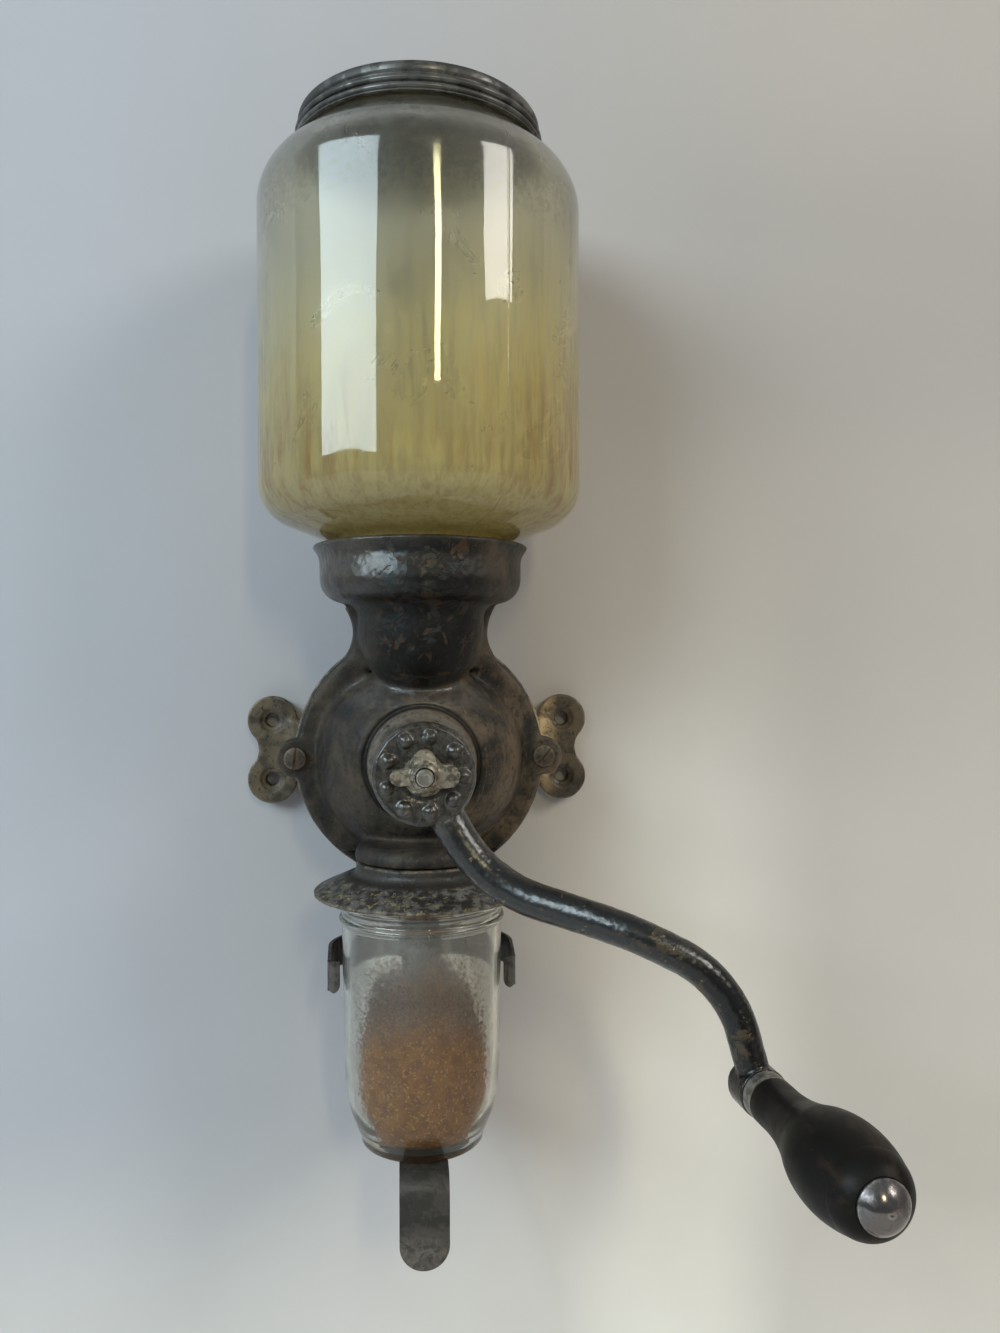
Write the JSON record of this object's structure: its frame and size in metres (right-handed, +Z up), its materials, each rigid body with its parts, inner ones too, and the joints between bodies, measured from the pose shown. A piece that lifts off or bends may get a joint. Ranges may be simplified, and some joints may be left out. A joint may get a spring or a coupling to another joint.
{
  "type": "wall-mounted coffee grinder",
  "caption": "Wall-mounted hand coffee grinder: glass hopper jar with cap, cast iron burr housing, crank with wooden grip, and a glass catch cup in a spring holder.",
  "frame": {"origin": "centre of the four wall screw holes on the wall plane, level with the spindle", "axes": "+Z up, +Y into the wall, so the mill faces -Y; the spindle lies along Y"},
  "size_m": [0.2027, 0.222, 0.4295],
  "materials": {
    "jar_glass": "clear, grimy inside",
    "cork": "matt cork",
    "cap_tin": "worn black lacquer",
    "card": "matt card",
    "cast_iron": "worn dark iron with remains of black enamel",
    "cast_iron_back": "worn dark iron",
    "screw_steel": "dark steel",
    "burr_iron": "ground iron",
    "spindle_steel": "turned steel",
    "bush_brass": "dull brass",
    "crank_enamel": "glossy worn black enamel",
    "nut_iron": "worn iron",
    "grip_wood": "satin black lacquered wood",
    "ferrule_steel": "dull steel",
    "rivet_steel": "polished dark steel",
    "cup_glass": "clear pressed glass with coffee dust",
    "strap_iron": "dull tarnished spring steel"
  },
  "bodies": {
    "housing": {"hopper_jar": "jar_glass", "jar_gasket": "cork", "front_housing": "cast_iron", "back_housing": "cast_iron_back", "housing_screws": "screw_steel", "outer_burr": "burr_iron", "burr_screws": "screw_steel", "rear_bushing": "bush_brass", "thrust_washer": "spindle_steel", "strap_screws": "screw_steel"},
    "crank": {"crank_arm": "crank_enamel", "grip_rivet": "rivet_steel"},
    "nut": {"adjusting_nut": "nut_iron"},
    "grinding_shaft": {"spindle": "spindle_steel", "inner_burr": "burr_iron", "burr_pin": "screw_steel", "feed_worm": "burr_iron"},
    "handle": {"grip": "grip_wood", "grip_ferrule": "ferrule_steel"},
    "liner": {"cap_liner": "card"},
    "cap": {"jar_cap": "cap_tin"},
    "holder": {"holder_strap": "strap_iron", "holder_arms": "strap_iron", "holder_rivets": "strap_iron"},
    "cup": {"catch_cup": "cup_glass"}
  },
  "joints": [
    {"name": "crank_turn", "type": "hinge", "parent": "housing", "child": "crank", "pos_m": [0, 0, 0], "axis": [0, 1, 0], "continuous": true},
    {"name": "nut_turn", "type": "hinge", "parent": "crank", "child": "nut", "pos_m": [0, 0, 0], "axis": [0, 1, 0], "range_deg": [0, 540]},
    {"name": "spindle_slide", "type": "slide", "parent": "crank", "child": "grinding_shaft", "axis": [0, 1, 0], "range_m": [0, 0.0015]},
    {"name": "grip_spin", "type": "hinge", "parent": "crank", "child": "handle", "pos_m": [0.1097, -0.1375, -0.1031], "axis": [0.0442, -0.9979, 0.047], "continuous": true},
    {"name": "cap_lift", "type": "slide", "parent": "housing", "child": "liner", "axis": [0, 0, 1], "range_m": [0, 0.01]},
    {"name": "cap_turn", "type": "hinge", "parent": "liner", "child": "cap", "pos_m": [0, -0.0638, 0.24], "axis": [0, 0, 1], "range_deg": [0, 900]},
    {"name": "holder_flex", "type": "hinge", "parent": "housing", "child": "holder", "pos_m": [0, -0.0167, -0.029], "axis": [1, 0, 0], "range_deg": [0, 5], "stiffness_Nm_per_rad": 40},
    {"name": "cup_slide", "type": "slide", "parent": "holder", "child": "cup", "axis": [0, -1, 0], "range_m": [0, 0.11]}
  ],
  "couplings": [
    {"joint": "nut_turn", "follows": "spindle_slide", "rad_per_m": 6283.2},
    {"joint": "cap_lift", "follows": "cap_turn", "m_per_rad": 0.00063662}
  ]
}
